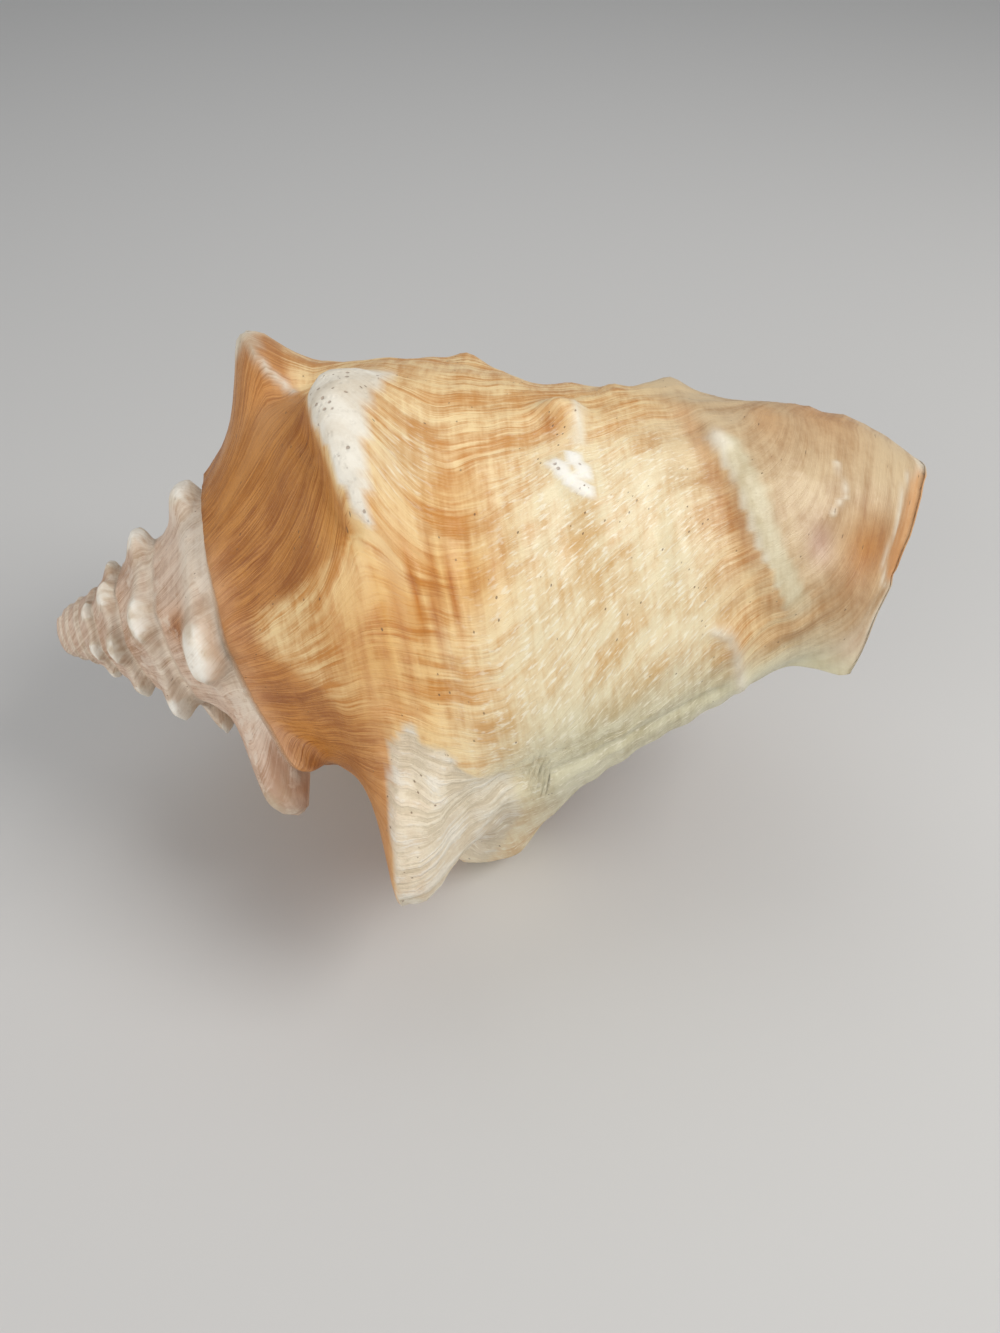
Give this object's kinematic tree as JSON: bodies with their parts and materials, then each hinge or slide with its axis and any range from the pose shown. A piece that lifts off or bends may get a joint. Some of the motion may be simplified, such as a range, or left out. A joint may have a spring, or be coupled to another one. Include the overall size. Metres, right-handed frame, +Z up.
{
  "type": "queen conch shell",
  "caption": "Spiral queen conch shell with knobbed shoulder, long tapering body, short pointed spire and a thin young outer lip round a curved hollow.",
  "frame": {"origin": "under the middle of the shell's bounding box, on the surface that it rests on", "axes": "+Z up; +X along the shell from the pointed spire towards the front canal; the shell lies with its opening down, and the outer lip is on the -Y side"},
  "size_m": [0.1988, 0.128, 0.1181],
  "materials": {
    "shell": "glossy cream and orange shell with chalky worn knobs"
  },
  "bodies": {
    "root": {"conch_shell": "shell"}
  },
  "joints": []
}
